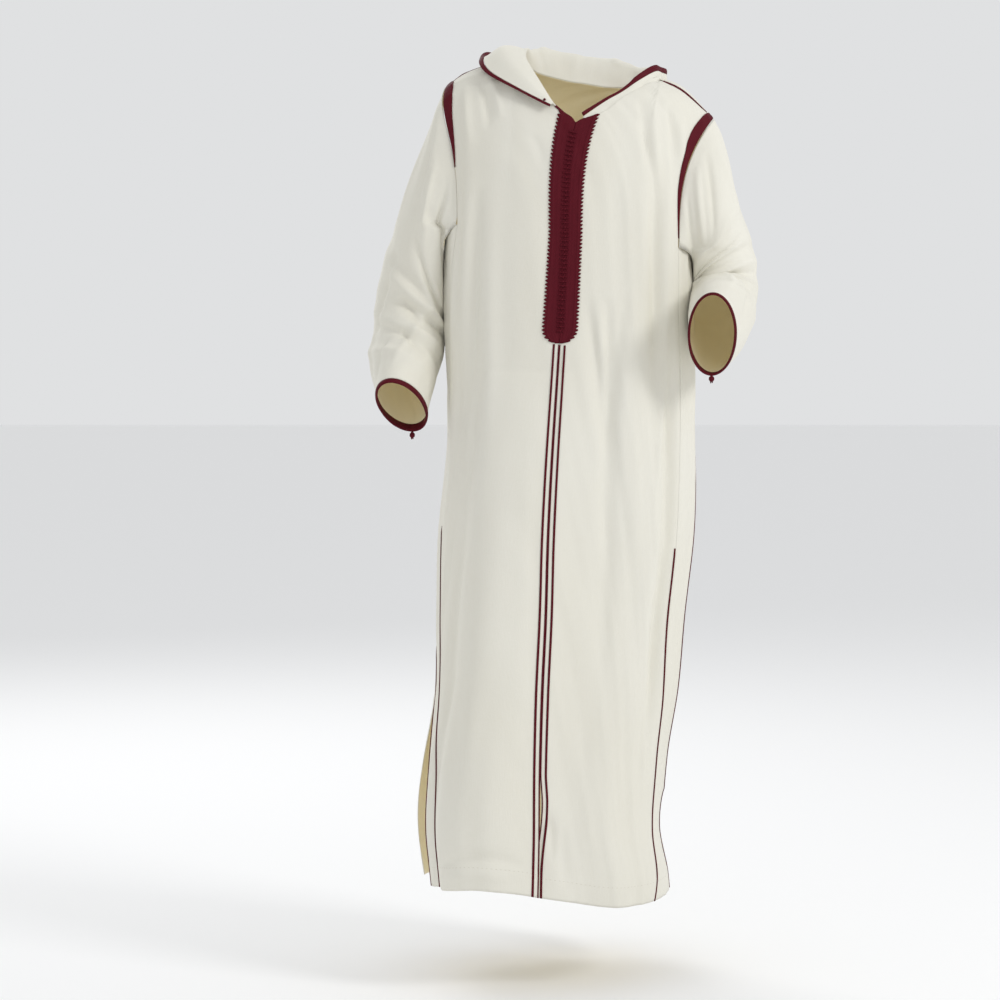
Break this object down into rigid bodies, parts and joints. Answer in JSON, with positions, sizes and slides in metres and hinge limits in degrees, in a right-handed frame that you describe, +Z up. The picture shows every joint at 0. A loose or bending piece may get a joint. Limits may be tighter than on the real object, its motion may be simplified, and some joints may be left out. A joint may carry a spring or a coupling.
{
  "type": "hooded djellaba robe",
  "caption": "Long cream hooded robe with burgundy braid, knotted front placket and cords, held in its worn shape as a hollow garment open at neck, cuffs, hem and slits.",
  "frame": {"origin": "the middle of the neck opening at the height of the shoulder line, where the wearer's neck and shoulders hold the robe up", "axes": "+Z up along the standing wearer, +X towards the wearer's left, -Y the way the robe's front faces"},
  "size_m": [0.6514, 0.4304, 1.4203],
  "materials": {
    "cloth": "matt fine wool, pale cream",
    "braid": "silky braid and cord, burgundy"
  },
  "bodies": {
    "root": {"front_left": "cloth", "front_right": "cloth", "back": "cloth", "gore_left": "cloth", "gore_right": "cloth", "sleeve_left": "cloth", "sleeve_right": "cloth", "hood": "cloth", "hood_braid": "braid", "placket_left": "braid", "placket_right": "braid", "closing_knots": "braid", "armhole_braid_left": "braid", "armhole_braid_right": "braid", "cuff_braid_left": "braid", "cuff_braid_right": "braid", "cuff_knot_left": "braid", "cuff_knot_right": "braid", "shoulder_cord_left": "braid", "shoulder_cord_right": "braid", "front_cord_edge_left": "braid", "front_cord_edge_right": "braid", "front_cord_outer_left": "braid", "front_cord_outer_right": "braid", "gore_cord_front_left": "braid", "gore_cord_front_right": "braid", "gore_cord_back_left": "braid", "gore_cord_back_right": "braid"}
  },
  "joints": []
}
